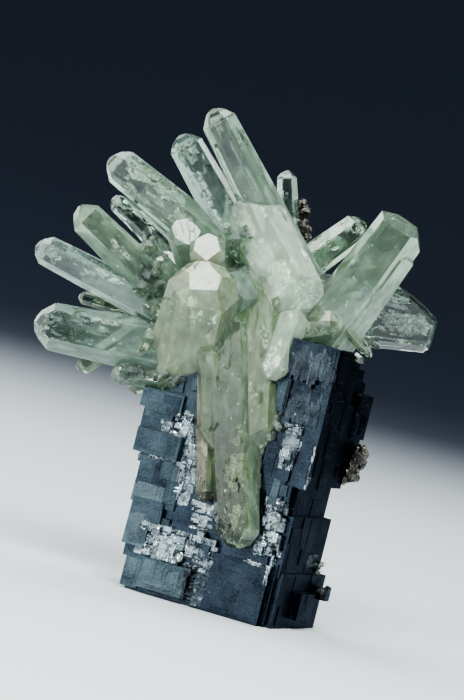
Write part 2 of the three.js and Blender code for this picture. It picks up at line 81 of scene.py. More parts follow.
# A crystal as it is grown: its tip and root as seen, and its width and thickness, in millimetres. milk is
# how cloudy it is at its root and at its tip, tint the colour of its cloud, and flaws how much of it has
# white cracks just under its faces. veils are the silvery cracks inside it: share of the way to the tip,
# share of the half width aside, length, width, and how whole each is. frosted is the side of it that is
# milky, as seen. lines is the direction across its growth lines, as long as there are lines to a
# millimetre. gold is for golden veils.
USUAL = ((0.5, 0.05), "#98ab9c", 0.36, None, (0, 0, 0), (0, 0, 0), False)
Crystal = namedtuple("Crystal", "tip root size milk tint flaws veils frosted lines gold", defaults=USUAL)
CRYSTALS = [
    Crystal((-37.3, 57.3, 5), (-8, 51.2, 3), (10.4, 6.8), (0.45, 0.04), "#8a9e95", 0.38,
        [(0.91, -0.2, 2.4, 1.6, 0.7), (0.5, 0.2, 7, 2, 0.3), (0.72, 0.6, 6, 1, 0.4), (0.25, 0, 6, 4, 0.4),
         (0.8, -0.7, 8, 1, 0.6)], frosted=(0, -0.8, 0.2)),
    Crystal((-36.9, 72.6, 3), (-7, 57, 1), (7.2, 5.6), (0.4, 0.02), "#8fa39e", 0.4,
        [(0.87, 0.1, 3.6, 3.6, 0.95), (0.62, 0.5, 12, 1.4, 0.95), (0.66, -0.1, 7, 2.6, 0.5),
         (0.4, 0, 4.6, 3, 0.6)], frosted=(-0.3, -0.8, 0)),
    Crystal((-28.6, 80, 5), (-6, 58, 1), (7.8, 6), (0.4, 0.16), "#9aad9c", 0.34,
        [(0.8, 0.5, 2, 1.2, 0.7), (0.45, 0, 5, 3, 0.4), (0.3, 0.2, 4, 3, 0.5)], frosted=(-0.8, 0, 0)),
    Crystal((-22.3, 90.4, -1), (7.6, 65.8, -2.4), (8.8, 6.6), (0.45, 0.02), "#9cb1a1", 0.33,
        [(0.74, 0.5, 13, 2, 0.95), (0.77, -0.55, 9, 1.2, 0.8), (0.87, 0.05, 3, 2.4, 0.4),
         (0.66, -0.05, 7, 2.4, 0.5), (0.52, -0.1, 4, 3, 0.7)]),
    Crystal((-21.8, 82.4, -8), (-3, 64.2, -3), (5, 4.2), (0.1, -0.08), "#7c8e88", 0.36,
        [(0.86, 0, 4.4, 3, 0.5)]),
    Crystal((-8.2, 94.9, -1), (8.6, 64.8, -2), (7.8, 6.4), (0.45, 0.12), "#93a6a2", 0.44,
        [(0.86, 0, 4.6, 3.4, 0.7), (0.6, 0, 3, 3, 0.4), (0.7, 0.6, 7, 0.8, 0.5)]),
    Crystal((-1.5, 99.7, 5), (16.4, 64.8, 1.5), (8.4, 7.6), (0.45, 0.05), "#869a8c", 0.3,
        [(0.9, -0.1, 3, 0.8, 0.8), (0.72, 0.45, 11, 1, 0.7), (0.62, 0, 6, 3, 0.2)],
        frosted=(0.3, 0.2, 0)),
    Crystal((19, 53.9, 17.5), (4.2, 81.6, 1.5), (12.6, 9), (0.12, 0.17), "#e2f4e0", 0.46,
        [(0.24, -0.35, 7, 3.2, 0.9), (0.41, -0.25, 8, 4, 0.95), (0.57, -0.1, 7, 4.8, 0.95),
         (0.71, 0.1, 5, 8, 0.95), (0.44, 0.78, 16, 0.7, 0.8), (0.48, -0.8, 14, 1, 0.8)],
        frosted=(-0.5, -1, 0.1)),
    Crystal((9.6, 45.6, 18.2), (15.2, 60.2, 11.6), (6.6, 5), (0.35, 0.26), "#cfe0cb", 0.5,
        [(0.7, 0, 8, 4, 0.7), (0.3, 0, 6, 4, 0.7)]),
    Crystal((29.4, 77.4, -4), (6, 60.6, -1), (6.8, 5.4), (0.45, 0.02), "#a9bcaa", 0.46,
        [(0.7, -0.1, 7, 2.8, 0.4), (0.88, 0.5, 2.4, 1.6, 0.8), (0.6, 0.65, 9, 1.1, 0.9),
         (0.46, 0, 4, 3, 0.8)]),
    Crystal((41.5, 82.6, 2), (14.6, 46.2, -4), (12.2, 9), (0.6, 0.1), "#a0b4a3", 0.38,
        [(0.6, 0.1, 2.6, 1.8, 0.8), (0.84, -0.1, 2, 1.2, 0.8), (0.3, -0.3, 3, 3, 0.6),
         (0.75, -0.8, 9, 1, 0.7)], frosted=(1, -0.6, 0)),
    Crystal((47.5, 56.4, -8), (14, 60.9, -5), (13.2, 7.6), (0.08, -0.1), "#74837f", 0.4,
        [(0.68, -0.1, 12, 5, 0.8), (0.66, 0.55, 5, 2.4, 0.6), (0.5, 0.3, 5, 3, 0.5)]),
    Crystal((-1.8, 68, 21), (-7, 49, 2), (15, 12), (0.6, 0.34), "#a8b193", 0.4,
        [(0.8, 0.7, 5, 3, 0.5), (0.6, -0.6, 5, 3, 0.4), (0.4, 0.5, 5, 4, 0.3)], lines=(0.16, -0.14, 0)),
    Crystal((-2.6, 73.6, 16.5), (-1, 60, 0), (8.6, 7.6), (0.5, 0.3), "#98ab98", 0.4,
        lines=(-0.15, 0.55, 0)),
    Crystal((-8, 76.8, 12.6), (-3, 63, -2), (7.6, 6.6), (0.5, 0.3), "#92a796", 0.4, lines=(0.8, 0.1, 0)),
    Crystal((-15.2, 72.8, 10), (-8, 63, -1), (4.6, 4.2), (0.5, 0.25), "#95aa98"),
    Crystal((-12.4, 69.8, 10), (-7, 61, 0), (4.4, 3.8), (0.5, 0.25), "#95aa98"),
    Crystal((2.4, 76.6, 12), (2, 65, -1), (5.4, 4.8), (0.55, 0.35), "#9db3a2"),
    Crystal((4.8, 66.4, 17), (2, 56, 2), (8.6, 6.4), (0.55, 0.35), "#90a698"),
    Crystal((-15, 60.4, 9.5), (-9, 57, 0), (3, 2.6), (0.3, 0.05), "#bccbb8"),
    Crystal((3.6, 12.4, 18.8), (2.4, 56, 9.6), (10.6, 8.2), (0.32, 0.03), "#6c7f66", 0.43,
        [(0.66, 0.1, 8, 4.6, 0.8), (0.84, 0, 7, 4, 0.6), (0.82, -0.78, 15, 0.9, 0.9),
         (0.5, 0.1, 5, 4, 0.4)], frosted=(1, -0.2, 0), gold=True),
    Crystal((3.4, 26.6, 14.4), (5.1, 66, 7), (19.4, 9.4), (0.5, 0.28), "#788a64", 0.46,
        [(0.35, 0.62, 12, 0.8, 0.8), (0.45, 0.8, 10, 0.6, 0.7), (0.5, -0.6, 8, 4, 0.35),
         (0.3, -0.2, 9, 6, 0.3)]),
    Crystal((-3, 21.6, 13.8), (-2.4, 46, 9), (5, 4.8), (0.35, 0.12), "#8b8066", 0.5,
        [(0.6, 0.2, 9, 1.4, 0.7), (0.8, 0, 5, 2, 0.5)], gold=True),
    Crystal((-2, 54.4, 12.4), (-0.4, 36, 11.4), (7, 6.2), (0.4, 0.16), "#8f9f80", 0.42),
    Crystal((12.9, 40.4, 16.2), (9, 33.4, 16.6), (2.8, 2.6), (0.2, 0.05), "#a9b8aa"),
    Crystal((-21.8, 47.2, 5), (-2, 45.2, 3), (5.2, 4.6), (0.4, 0.16), "#93a69a", 0.5,
        [(0.8, 0, 6, 3, 0.5), (0.5, 0, 7, 3, 0.5)]),
    Crystal((-18.4, 43.9, 0), (-8, 46, 1), (3.2, 3), (0.4, 0.1), "#95a690"),
    Crystal((-28.6, 47.6, -1), (-16, 56, 1), (4.2, 3.6), (0.3, 0.06), "#95a690"),
    Crystal((-28.4, 62.4, -2), (-14, 58.4, 0), (3.2, 3), (0.3, 0.05), "#a7b8a2"),
    Crystal((13.4, 88, -7), (14, 66, -3), (4.8, 4.2), (0.3, 0.02), "#8b9d99"),
    Crystal((-15.8, 50.6, 12.4), (-13.4, 56.2, 5), (2.3, 2.1), (0.2, 0.05), "#bccbb8"),
    Crystal((24.6, 56.6, 4), (8, 55.4, 3), (6.4, 5.6), (0.5, 0.2), "#9aaa8c"),
    Crystal((29.4, 51, 3), (25, 56, 1), (2.4, 2.2), (0.4, 0.1), "#95a690"),
    Crystal((-14, 83.4, -22), (-3, 62, -2), (7.6, 6)),
    Crystal((6, 89, -21), (3, 64, -3), (8.6, 6.6)),
    Crystal((24.6, 74, -22), (5, 60, -3), (7.6, 6)),
    Crystal((-24, 66, -19), (-4, 57, -2), (6.4, 5.4)),
    Crystal((-20.6, 53, -21), (-2, 54, -3), (6.6, 5.4)),
    Crystal((-1.6, 78, -30), (-1, 60, -3), (8.6, 7)),
    Crystal((31, 63.4, -21), (8, 56, -4), (6.6, 5.4)),
    Crystal((10.6, 66.6, -31), (3, 57, -4), (7.4, 6.2)),
    Crystal((-9, 63, -30), (-2, 55, -4), (6.8, 5.8)),
    Crystal((7, 36, -17.4), (0, 58, -11), (8, 6.4), (0.6, 0.2), "#93a27e"),
]


def root_and_span(crystal):
    root = seen(*crystal.root)
    return root, seen(*crystal.tip) - root


def linear(hex_colour):
    """An sRGB hex colour as the linear colour that the shaders take."""
    parts = [int(hex_colour[i : i + 2], 16) / 255 for i in (1, 3, 5)]
    return (*[c / 12.92 if c <= 0.04045 else ((c + 0.055) / 1.055) ** 2.4 for c in parts], 1)


def add_node(material, kind, inputs=(), operation=None, stops=(), **settings):
    """Adds a node. Inputs are values, or nodes or sockets to link from, in a row or by name. operation is
    what a maths node does, stops are the places and hex colours of a colour ramp's two ends, and settings
    are the node's own properties."""
    tree = material.node_tree
    node = tree.nodes.new(kind)
    if operation:
        node.operation = operation
    for key, value in settings.items():
        setattr(node, key, value)
    for key, value in inputs.items() if isinstance(inputs, dict) else enumerate(inputs):
        if isinstance(value, bpy.types.Node):
            value = value.outputs[0]
        if isinstance(value, bpy.types.NodeSocket):
            tree.links.new(value, node.inputs[key])
        else:
            node.inputs[key].default_value = value
    for element, (place, colour) in zip(node.color_ramp.elements if stops else (), stops):
        element.position = place
        element.color = linear(colour)
    return node


MATH = "ShaderNodeMath"
VECTOR = "ShaderNodeVectorMath"
NOISE = "ShaderNodeTexNoise"
RAMP = "ShaderNodeValToRGB"
PRINCIPLED = "ShaderNodeBsdfPrincipled"
OUTPUT = "ShaderNodeOutputMaterial"
# A times b plus c, as it comes and kept between 0 and 1
TIMES_PLUS = "MULTIPLY_ADD"
CLAMPED = {"operation": "MULTIPLY_ADD", "use_clamp": True}
# A bump whose height is in metres, as it is
METRES = {"Strength": 1.0, "Distance": 1.0}


def new_material(name):
    """An empty material, and the place on its piece that its patterns read."""
    material = bpy.data.materials.new(name)
    material.use_nodes = True
    material.node_tree.nodes.clear()
    return material, add_node(material, "ShaderNodeTexCoord").outputs["Object"]


def deselect():
    bpy.ops.object.select_all(action="DESELECT")


def select_only(pieces):
    deselect()
    for piece in pieces:
        piece.select_set(True)
    bpy.context.view_layer.objects.active = pieces[0]


def remove(pieces):
    select_only(pieces)
    bpy.ops.object.delete()


def add_object(name, data):
    thing = bpy.data.objects.new(name, data)
    bpy.context.scene.collection.objects.link(thing)
    return thing


def joined(name, pieces):
    """One piece of many."""
    select_only(pieces)
    bpy.ops.object.join()
    piece = bpy.context.object
    piece.name = name
    return piece


def start_piece(name, add, **settings):
    """Adds a primitive as the start of a piece, with all of it ready for work."""
    deselect()
    add(**settings)
    piece = bpy.context.object
    piece.name = name
    edit_all()
    return piece


def edit_all():
    """Starts work on the whole mesh of the active piece."""
    bpy.ops.object.mode_set(mode="EDIT")
    bpy.ops.mesh.select_all(action="SELECT")


def stop_editing():
    bpy.ops.object.mode_set(mode="OBJECT")


def cut_off(point, normal):
    """Cuts off what lies beyond a plane, and closes the cut."""
    bpy.ops.mesh.select_all(action="SELECT")
    bpy.ops.mesh.bisect(plane_co=point, plane_no=normal, use_fill=True, clear_outer=True)


# Points nearer than this are one, and faces that differ in slope by less than this are one flat face
SAME_POINT = 0.002 * MM
SAME_PLANE = math.radians(0.6)


def solid_copy(node, name):
    """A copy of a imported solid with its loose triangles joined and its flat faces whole."""
    piece = add_object(name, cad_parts[node].data.copy())
    piece.data.materials.clear()
    select_only([piece])
    edit_all()
    bpy.ops.mesh.remove_doubles(threshold=SAME_POINT)
    bpy.ops.mesh.dissolve_limited(angle_limit=SAME_PLANE)
    stop_editing()
    return piece


def tree_of(piece):
    return BVHTree.FromObject(piece, bpy.context.evaluated_depsgraph_get())


# Within what distance two pieces are meant to touch, and how far one then goes into the other
CONTACT = 0.34 * MM
BITE = 0.03 * MM


def meet(piece, other):
    """Moves the part of a piece that a hair's breadth parts from another on to it, and just into it."""
    tree = tree_of(other)
    for vertex in piece.data.vertices:
        near, _, _, distance = tree.find_nearest(vertex.co, CONTACT)
        if near is not None and distance > 0:
            vertex.co = near + (near - vertex.co).normalized() * BITE


# What each face of a crystal stores for the material: its kind, its field, and the output that it is read
# from
STORED = {name: ("FLOAT_VECTOR", "vector", "Vector") for name in ("root", "axis", "look", "lines")}
STORED |= {"tint": ("FLOAT_COLOR", "color", "Color"), "flaws": ("FLOAT", "value", "Fac")}
# How milky the faces that turn aside are, and those on the frosted side, and how much of that the root gets
FROST = 0.14
SIDE_FROST = 0.5
FROST_AT_ROOT = 0.4
# How much of its cracks a face shows when it's seen edge on
FLAWS_EDGE_ON = 0.6


def face_values(mesh, rows):
    """Stores what the faces of a mesh have from their crystals, a row for each face."""
    for index, (name, (kind, field, _)) in enumerate(STORED.items()):
        attribute = mesh.attributes.new(f"crystal_{name}", kind, "FACE")
        attribute.data.foreach_set(field, np.array([row[index] for row in rows], np.float32).ravel())


def crystal_values(crystal, normal):
    """What a face of a crystal stores, from the way that it faces. The sides of a prism are frosted a
    little, and its cracks show most in the faces that are seen square on."""
    root, span = root_and_span(crystal)
    lines = way(*crystal.lines)
    facing = abs(normal.dot(OUT))
    frosted = way(*crystal.frosted)
    frost = FROST * (1 - facing) + SIDE_FROST * max(normal.dot(frosted), 0)
    look = (span.length, crystal.milk[0] + frost * FROST_AT_ROOT, crystal.milk[1] + frost)
    flaws = crystal.flaws * (FLAWS_EDGE_ON + (1 - FLAWS_EDGE_ON) * facing)
    return (root, span.normalized(), look, lines, linear(crystal.tint), flaws)


# A face belongs to the crystal whose half width its distance from the axis fits best. A tip's faces lie
# nearer to the axis and count for less, and a face that looks inwards or lies past an end is a poor fit.
TIP_NEARER = 0.6
TIP_COUNTS = 0.5
LOOKS_INWARDS = 0.5
INWARDS_FAULT = 1.5
PAST_END_FAULT = 3
PAST_ROOT = -0.05
PAST_TIP = 1.03


def mark_crystals(piece):
    """Gives each face the values of the crystal that it belongs to."""
    mesh = piece.data
    centres = np.array([polygon.center for polygon in mesh.polygons])
    normals = np.array([polygon.normal for polygon in mesh.polygons])
    best = np.full(len(centres), 1e9)
    owner = np.zeros(len(centres), int)
    for index, crystal in enumerate(CRYSTALS):
        root, span = root_and_span(crystal)
        axis = np.array(span.normalized())
        length = span.length
        from_root = centres - np.array(root)
        along = from_root @ axis
        aside = from_root - along[:, None] * axis
        distance = np.linalg.norm(aside, axis=1)
        half = (sum(crystal.size) / 4) * MM
        outward = (normals * aside).sum(axis=1) / np.maximum(distance, 1e-9)
        at_tip = along > length - half
        fault = np.abs(distance / half - 1)
        fault = np.where(at_tip, np.abs(distance / half - TIP_NEARER) * TIP_COUNTS, fault)
        fault += np.where((outward < LOOKS_INWARDS) & ~at_tip, INWARDS_FAULT, 0)
        fault += np.where((along < PAST_ROOT * length) | (along > length * PAST_TIP), PAST_END_FAULT, 0)
        mine = fault < best
        best[mine] = fault[mine]
        owner[mine] = index
    face_values(mesh, [crystal_values(CRYSTALS[i], Vector(normal)) for i, normal in zip(owner, normals)])


# Sizes of the patterns in calcite: streaks of cloud and how much they are drawn out along the crystal,
# patches of cloud, bands of cracks, the creases and flecks in them, swells in a grown face, the little
# facets of an etched patch, and how far apart such patches are. The white flecks are partly real specks and
# partly painted glints. Real flecks and etched facets are about half as wide, and are drawn as coarse as it
# takes for them to show.
STREAK = 1.3 * MM
DRAWN_OUT = 0.6
PATCH = 4.8 * MM
CRACK_BAND = 3.4 * MM
CREASE = 1.5 * MM
CREASE_HEIGHT = 0.16 * MM
FLECK_AND_GLINT = 0.5 * MM
SWELL = 2.6 * MM
SWELL_HEIGHT = 0.02 * MM
ETCHED_FACET = 0.55 * MM
ETCHED_PATCH = 5.5 * MM
GROOVE_DEPTH = 0.03 * MM
CALCITE_EDGE = 0.1 * MM
# How fast the cloud thins from the root, how white the cracks are, how much paler clear calcite is than its
# cloud, and how rough the cloudy parts are
CLOUD_THINS = 1.6
CRACK_WHITE = 0.75
CLEAR_PALER = 0.14
CLOUDY_ROUGHNESS = 0.16
# How far light travels in the cloud, as red, green and blue, in metres
GLOW = (0.003, 0.0034, 0.002)
CALCITE_IOR = 1.6
# What clear calcite takes from the light, for each metre
PALE_GREEN = "#cdddde"
ABSORPTION = 34.0


def calcite_material():
    """Calcite, grown in clear prisms with a milky root: glassy, with a pale green body, so that a tip shows
    what is behind it and a root glows."""
    m, place = new_material("calcite_clear_to_milky")
    root, axis, look, lines, tint, flaws = (
        add_node(m, "ShaderNodeAttribute", attribute_name=f"crystal_{name}").outputs[output]
        for name, (_, _, output) in STORED.items()
    )
    look = add_node(m, "ShaderNodeSeparateXYZ", {"Vector": look}).outputs
    from_root = add_node(m, VECTOR, (place, root), "SUBTRACT")
    along = add_node(m, VECTOR, (from_root, axis), "DOT_PRODUCT").outputs["Value"]
    # The cloud thins from the root to the tip
    share = add_node(m, MATH, (along, look["X"]), "DIVIDE", use_clamp=True)
    short = add_node(m, MATH, (1.0, share), "SUBTRACT")
    fall = add_node(m, MATH, (short, CLOUD_THINS), "POWER")
    milk = add_node(m, "ShaderNodeMapRange", {"Value": fall, "To Min": look["Z"], "To Max": look["Y"]})
    # The cloud lies in streaks along the crystal and in patches
    drawn = add_node(m, MATH, (along, -DRAWN_OUT), "MULTIPLY")
    drawn = add_node(m, VECTOR, {0: axis, "Scale": drawn}, "SCALE")
    drawn = add_node(m, VECTOR, (from_root, drawn), "ADD")
    streak = add_node(m, NOISE, {"Vector": drawn, "Scale": 1 / STREAK, "Detail": 3.0})
    patch = add_node(m, NOISE, {"Vector": place, "Scale": 1 / PATCH, "Detail": 2.0})
    uneven = add_node(m, MATH, (streak, patch), "ADD")
    uneven = add_node(m, MATH, (uneven, 1.0), "SUBTRACT")
    spread = add_node(m, MATH, (milk, 0.8, 0.06), TIMES_PLUS)
    cloudy = add_node(m, MATH, (uneven, spread, milk), **CLAMPED)
    # Healed cracks just under a face are white, creased and flecked, and lie in bands. The white flecks are
    # partly real specks and partly painted glints.
    band = add_node(m, NOISE, {"Vector": drawn, "Scale": 1 / CRACK_BAND, "Detail": 3.0})
    band = add_node(m, MATH, (band, flaws), "ADD")
    band = add_node(m, MATH, (band, 9.0, -9.0), **CLAMPED)
    crease = add_node(m, NOISE, {"Vector": place, "Scale": 1 / CREASE, "Detail": 4.0, "Distortion": 1.2})
    creased = add_node(m, MATH, (crease, 5.0, -2.1), **CLAMPED)
    fleck_and_glint = add_node(m, NOISE, {"Vector": drawn, "Scale": 1 / FLECK_AND_GLINT, "Detail": 1.0})
    fleck_and_glint = add_node(m, MATH, (fleck_and_glint, 14.0, -10.0), **CLAMPED)
    crack = add_node(m, MATH, (band, creased), "MULTIPLY")
    white = add_node(m, MATH, (crack, fleck_and_glint), "MAXIMUM")
    cloudy = add_node(m, MATH, (white, CRACK_WHITE, cloudy), **CLAMPED)
    clear = add_node(m, MATH, (1.0, cloudy), "SUBTRACT")
    pale = add_node(m, MATH, (streak, 0.9, -0.4), **CLAMPED)
    pale = add_node(m, MATH, (white, 0.5, pale), **CLAMPED)
    pale = add_node(m, MATH, (clear, CLEAR_PALER, pale), **CLAMPED)
    colour = add_node(m, "ShaderNodeMix", {"Factor": pale, 6: tint, 7: linear("#d5e8d9")}, data_type="RGBA")
    # Growth lines are thin grooves at uneven distances, and a few patches are etched into little facets
    across = add_node(m, VECTOR, (from_root, lines), "DOT_PRODUCT").outputs["Value"]
    across = add_node(m, MATH, (across, 1 / MM), "MULTIPLY")
    across = add_node(m, MATH, (patch, 1.5, across), TIMES_PLUS)
    gap = add_node(m, MATH, (across,), "FRACT")
    gap = add_node(m, MATH, (gap, 0.5), "SUBTRACT")
    gap = add_node(m, MATH, (gap,), "ABSOLUTE")
    groove = add_node(m, MATH, (gap, 7.0), "MULTIPLY", use_clamp=True)
    etched = add_node(m, NOISE, {"Vector": place, "Scale": 1 / ETCHED_PATCH, "Detail": 3.0})
    etched = add_node(m, MATH, (etched, 9.0, -5.5), **CLAMPED)
    facets = facet_height(m, place, ETCHED_FACET, 0.14)
    facets = add_node(m, MATH, (facets, etched), "MULTIPLY")
    swell = add_node(m, NOISE, {"Vector": place, "Scale": 1 / SWELL})
    height = add_node(m, MATH, (groove, GROOVE_DEPTH, facets), TIMES_PLUS)
    height = add_node(m, MATH, (swell, SWELL_HEIGHT, height), TIMES_PLUS)
    height = add_node(m, MATH, (crack, CREASE_HEIGHT, height), TIMES_PLUS)
    edge = add_node(m, "ShaderNodeBevel", {"Radius": CALCITE_EDGE}, samples=4)
    normal = add_node(m, "ShaderNodeBump", {**METRES, "Height": height, "Normal": edge})
    rough = add_node(m, MATH, (cloudy, CLOUDY_ROUGHNESS), "MULTIPLY")
    glass = {
        "Base Color": colour.outputs[2],
        "Roughness": rough,
        "IOR": CALCITE_IOR,
        "Transmission Weight": clear,
        "Subsurface Weight": 0.9,
        "Subsurface Radius": GLOW,
        "Subsurface Scale": 1.0,
        "Normal": normal,
    }
    inside = add_node(m, "ShaderNodeVolumeAbsorption", {"Color": linear(PALE_GREEN), "Density": ABSORPTION})
    add_node(m, OUTPUT, {"Surface": add_node(m, PRINCIPLED, glass), "Volume": inside})
    return m


CRINKLE = 0.65 * MM
CRINKLE_HEIGHT = 0.3 * MM


def veil_material(name, dim, pale):
    """A healed crack inside a crystal: light doesn't pass it, so that it shines like crumpled foil."""
    m, place = new_material(name)
    crinkle = add_node(m, NOISE, {"Vector": place, "Scale": 1 / CRINKLE, "Detail": 3.0})
    shade = add_node(m, RAMP, {"Fac": crinkle}, stops=[(0.35, dim), (0.6, pale)])
    normal = add_node(m, "ShaderNodeBump", {"Strength": 1.0, "Distance": CRINKLE_HEIGHT, "Height": crinkle})
    rough = add_node(m, MATH, (crinkle, 0.3, 0.08), TIMES_PLUS)
    foil = {"Base Color": shade, "Metallic": 0.6, "Roughness": rough, "Normal": normal}
    add_node(m, OUTPUT, {"Surface": add_node(m, PRINCIPLED, foil)})
    return m


def facet_height(m, place, cell, tip):
    """A height that tips each cube-edged cell of a surface its own way: cell is its width, tip its slope."""
    pattern = {"Vector": place, "Scale": 1 / cell, "Randomness": 0.9}
    cells = add_node(m, "ShaderNodeTexVoronoi", pattern, distance="CHEBYCHEV").outputs
    middle = add_node(m, VECTOR, (place, cells["Position"]), "SUBTRACT")
    lean = add_node(m, VECTOR, (cells["Color"], (0.5, 0.5, 0.5)), "SUBTRACT")
    slope = add_node(m, VECTOR, (middle, lean), "DOT_PRODUCT").outputs["Value"]
    return add_node(m, MATH, (slope, 2 * tip), "MULTIPLY")


# Sizes of the patterns in galena: blotches of tarnish, specks, and scratches along its cleavage with how
# much they are drawn out. The real scratches are hundredths of a millimetre wide, and are drawn coarser so
# that they show.
BLOTCH = 4.2 * MM
SPECK = 0.36 * MM
SPECK_HEIGHT = 0.03 * MM
SCRATCH = 0.34 * MM
SCRATCH_DRAWN = 0.06
SCRATCH_HEIGHT = 0.008 * MM
GALENA_EDGE = 0.12 * MM
# The small steps between the large ones, as a share of their width and their slope
SMALLER_STEP = 0.35
SMALLER_TIP = 0.5
# How much the loose plates differ in tone
USUAL_UNEVEN = 0.22
# How little of the light galena mirrors where it's seen at a slant
EDGE_TINT = "#c4c8cf"


def galena_material(name, dark, light, roughness, cell, tip, uneven=USUAL_UNEVEN):
    """Galena, broken along its cube faces: a lead-grey metal, scratched and specked, whose small steps each
    catch the light alone. cell is the width of a step in the surface, tip how far it leans, and uneven how
    much the plates differ."""
    m, place = new_material(name)
    island = add_node(m, "ShaderNodeNewGeometry").outputs["Random Per Island"]
    blotch = add_node(m, NOISE, {"Vector": place, "Scale": 1 / BLOTCH, "Detail": 6.0})
    speck = add_node(m, NOISE, {"Vector": place, "Scale": 1 / SPECK, "Detail": 4.0})
    scratches = 0.0
    for stretch in ((1, 1, SCRATCH_DRAWN), (SCRATCH_DRAWN, SCRATCH_DRAWN, 1)):
        drawn = add_node(m, VECTOR, (place, stretch), "MULTIPLY")
        scratch = add_node(m, NOISE, {"Vector": drawn, "Scale": 1 / SCRATCH, "Detail": 2.0})
        scratch = add_node(m, MATH, (scratch, 9.0, -6.0), **CLAMPED)
        scratches = add_node(m, MATH, (scratch, scratches), "MAXIMUM")
    island = add_node(m, MATH, (island, 0.5), "SUBTRACT")
    mixed = add_node(m, MATH, (island, uneven, blotch), TIMES_PLUS)
    mixed = add_node(m, MATH, (speck, mixed), "ADD")
    mixed = add_node(m, MATH, (scratches, 0.2, mixed), TIMES_PLUS)
    mixed = add_node(m, MATH, (mixed, 0.9, -0.4), **CLAMPED)
    colour = add_node(m, RAMP, {"Fac": mixed}, stops=[(0.15, dark), (0.75, light)])
    rough = add_node(m, MATH, (blotch, 0.35, roughness - 0.16), TIMES_PLUS)
    rough = add_node(m, MATH, (scratches, 0.15, rough), **CLAMPED)
    steps = facet_height(m, place, cell, tip)
    small = facet_height(m, place, cell * SMALLER_STEP, tip * SMALLER_TIP)
    height = add_node(m, MATH, (steps, small), "ADD")
    height = add_node(m, MATH, (speck, SPECK_HEIGHT, height), TIMES_PLUS)
    height = add_node(m, MATH, (scratches, SCRATCH_HEIGHT, height), TIMES_PLUS)
    edge = add_node(m, "ShaderNodeBevel", {"Radius": GALENA_EDGE}, samples=4)
    normal = add_node(m, "ShaderNodeBump", {**METRES, "Height": height, "Normal": edge})
    metal = {"Base Color": colour, "Metallic": 1.0, "Roughness": rough, "Normal": normal}
    metal["Specular Tint"] = linear(EDGE_TINT)
    add_node(m, OUTPUT, {"Surface": add_node(m, PRINCIPLED, metal)})
    return m


# The block's upright sides: the direction that each faces, and the one that runs to the right along it
SIDES = {
    "front": (Vector((0, -1, 0)), Vector((1, 0, 0))),
    "right": (Vector((1, 0, 0)), Vector((0, 1, 0))),
    "back": (Vector((0, 1, 0)), Vector((-1, 0, 0))),
    "left": (Vector((-1, 0, 0)), Vector((0, -1, 0))),
}

# Flat cleavage plates on the front by their finish, as across from and to, and up from and to, in the
# block's own x and z. Each stands proud by the next number, and leans by the last one in degrees.
PLATES = {
    "smooth": [
        (-9.4, -5.2, 14.4, 18.2, 0.12, 0), (1.5, 13.4, 0.5, 11.6, 0.1, 0), (4, 9.2, 5.4, 11.2, 0.22, 1),
        (8.6, 13.2, 0.7, 6.2, 0.2, -1), (7.2, 9, 24.4, 33.6, 0.2, 2), (13.1, 16.2, 28, 39.8, 0.1, 0),
        (8.4, 12.6, 41, 48.6, 0.12, 1), (12.9, 16.9, 40.4, 49.2, 0.18, 0),
    ],
    "dull": [
        (-20.4, -11.3, 35.4, 40.6, 0.1, 0), (-19.9, -14.2, 34.2, 38.2, 0.22, -2),
        (-20.3, -11, 27.1, 31.8, 0.08, 0), (-18.5, -14.1, 21.6, 26.6, 0.12, 1.5),
        (-13.9, -9.9, 22.8, 26.6, 0.26, -1), (-12, -9.4, 17.4, 22.6, 0.3, 1),
        (-13.2, -9.6, 14.2, 16.8, 0.24, 2), (11.6, 13.4, 24.6, 29.4, 0.12, 2), (5.6, 8, 40.8, 49.6, 0.2, -4),
    ],
    "worn": [
        (-18.6, -12.2, 17.4, 21.4, 0.1, -1.5), (-18.9, -13.4, 8.8, 17, 0.1, -3),
        (-17.8, -13.2, 0.6, 9.2, 0.1, -2), (-12.7, -2.8, 1.3, 7, 0.05, -4),
        (-12.3, -7.6, 3.4, 6.8, 0.12, -3), (9.9, 11.4, 23.8, 31, 0.24, -3),
    ],
}

# Stretches of the sides that are broken into small bright steps: the side, across and up as above, the
# width and the height of a step, and how many degrees it may lean
FOIL = [
    ("front", (-16, -9.6), (31.9, 36.8), (1.1, 0.8), 16),
    ("front", (-10.2, -6.2), (19.4, 33.4), (0.9, 1.2), 13),
    ("front", (-17.2, -10.4), (26.5, 27.2), (0.6, 0.5), 10),
    ("front", (-5, -0.7), (15.2, 20.4), (1.3, 0.6), 16),
    ("front", (-14.6, -3.4), (7.4, 13.7), (1, 0.9), 18),
    ("front", (-3.6, 0.6), (10.2, 14), (1.5, 1), 14),
    ("front", (-2.6, 1), (7, 9.8), (1.2, 0.8), 14),
    ("front", (9, 13.4), (14.4, 24.2), (0.8, 1.5), 14),
    ("front", (10.2, 13), (31.2, 40.4), (0.8, 1.7), 13),
    ("front", (8, 13.4), (11.6, 12.2), (0.6, 0.4), 9),
    ("front", (13.1, 13.5), (8.4, 14), (0.25, 0.6), 14),
    ("front", (16.6, 16.9), (28.6, 37), (0.22, 0.9), 14),
    ("front", (-20.8, -19.6), (24.6, 27), (0.5, 0.6), 11),
    ("back", (-12, -4), (14, 23), (1, 1.2), 14),
    ("back", (-6, 3), (19, 27), (1.2, 1), 14),
    ("back", (-9, -1), (10, 14), (1, 0.9), 14),
    ("left", (-7, 1), (5, 13), (1, 1.2), 14),
    ("left", (-1, 7), (9, 17), (0.9, 1.2), 14),
    ("left", (-4, 4), (17, 20), (1.2, 0.8), 14),
]
